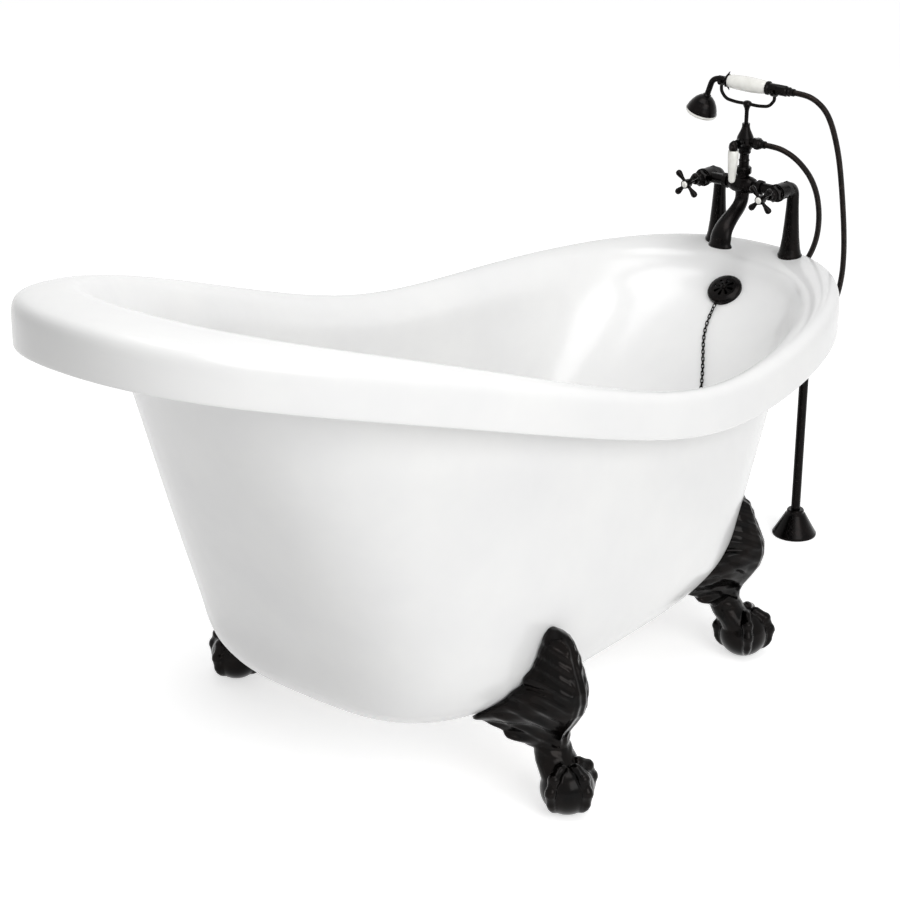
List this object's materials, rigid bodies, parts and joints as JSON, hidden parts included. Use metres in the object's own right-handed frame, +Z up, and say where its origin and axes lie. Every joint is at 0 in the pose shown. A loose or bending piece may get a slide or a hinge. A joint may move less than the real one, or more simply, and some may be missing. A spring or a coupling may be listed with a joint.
{
  "type": "clawfoot bathtub",
  "caption": "Freestanding slipper bathtub with one high end, rolled rim, claw-and-ball feet, deck taps with hand shower, drain with chained stopper and floor supplies.",
  "frame": {"origin": "on the floor under the middle of the whole object's bounding box", "axes": "+X from the high head end to the tap end, +Y to the far side seen from the near side, +Z up"},
  "size_m": [1.7781, 0.7892, 0.8944],
  "materials": {
    "tub_acrylic": "gloss white acrylic",
    "feet_bronze": "oil-rubbed bronze finish on cast iron, semi-gloss",
    "bronze": "oil-rubbed bronze finish on brass, satin",
    "bronze_hose": "oil-rubbed bronze finish on a ribbed brass hose, satin",
    "porcelain": "glazed white porcelain",
    "stopper_rubber": "black rubber",
    "gasket_rubber": "black rubber",
    "bolt_steel": "zinc-plated steel",
    "block_wood": "laminated plywood, sealed"
  },
  "bodies": {
    "tub": {"foot_head_far": "feet_bronze", "foot_head_near": "feet_bronze", "foot_end_far": "feet_bronze", "foot_end_near": "feet_bronze", "foot_bolts": "bolt_steel", "foot_mounting_blocks": "block_wood", "tub_shell": "tub_acrylic", "drain_flange": "bronze", "drain_gasket": "gasket_rubber", "drain_shoe": "bronze", "waste_tube": "bronze", "waste_tee": "bronze", "waste_tailpiece": "bronze", "overflow_elbow": "bronze", "overflow_tube": "bronze", "overflow_plate": "bronze", "overflow_screw": "bronze", "waste_slip_nuts": "bronze", "waste_escutcheon": "bronze", "chain": "bronze", "tap_leg_far": "bronze", "tap_leg_near": "bronze", "deck_washers": "gasket_rubber", "deck_nuts": "bronze", "leg_union_nuts": "bronze", "bridge_body": "bronze", "bridge_nuts": "bronze", "bonnet_far": "bronze", "bonnet_near": "bronze", "spout": "bronze", "column_nut": "bronze", "column": "bronze", "diverter_body": "bronze", "hose_nut_lower": "bronze", "supply_far": "bronze", "supply_near": "bronze", "supply_nuts": "bronze", "floor_escutcheons": "bronze", "hose": "bronze_hose"},
    "handle_far": {"spindle_far": "bronze", "cross_handle_far": "bronze", "button_far": "bronze"},
    "handle_near": {"spindle_near": "bronze", "cross_handle_near": "bronze", "button_near": "bronze"},
    "lever": {"lever_cap": "bronze", "lever_grip": "porcelain"},
    "cradle": {"cradle": "bronze"},
    "handset": {"handset_tube": "bronze", "handset_grip": "porcelain", "handset_crown": "bronze", "handset_neck": "bronze", "shower_bell": "bronze", "shower_face_ring": "porcelain", "shower_spray_plate": "bronze", "handset_ferrule": "bronze", "handset_connector": "bronze"},
    "stopper": {"stopper_plug": "stopper_rubber", "stopper_post": "bronze", "stopper_ring": "bronze"}
  },
  "joints": [
    {"name": "handle_far_turn", "type": "hinge", "parent": "tub", "child": "handle_far", "pos_m": [0.649, 0.076, 0.69914], "axis": [1, 0, 0], "range_deg": [0, 90]},
    {"name": "handle_near_turn", "type": "hinge", "parent": "tub", "child": "handle_near", "pos_m": [0.649, -0.076, 0.69914], "axis": [1, 0, 0], "range_deg": [-90, 0]},
    {"name": "lever_turn", "type": "hinge", "parent": "tub", "child": "lever", "pos_m": [0.675, 0, 0.77614], "axis": [1, 0, 0], "range_deg": [0, 90]},
    {"name": "cradle_swivel", "type": "hinge", "parent": "tub", "child": "cradle", "pos_m": [0.712, 0, 0.84314], "axis": [0, 0, 1], "range_deg": [-75, 75]},
    {"name": "handset_lift", "type": "slide", "parent": "cradle", "child": "handset", "axis": [0, 0, 1], "range_m": [0, 0.12]},
    {"name": "stopper_lift", "type": "slide", "parent": "tub", "child": "stopper", "axis": [0, 0, 1], "range_m": [0, 0.06], "deforming": ["chain"]}
  ]
}
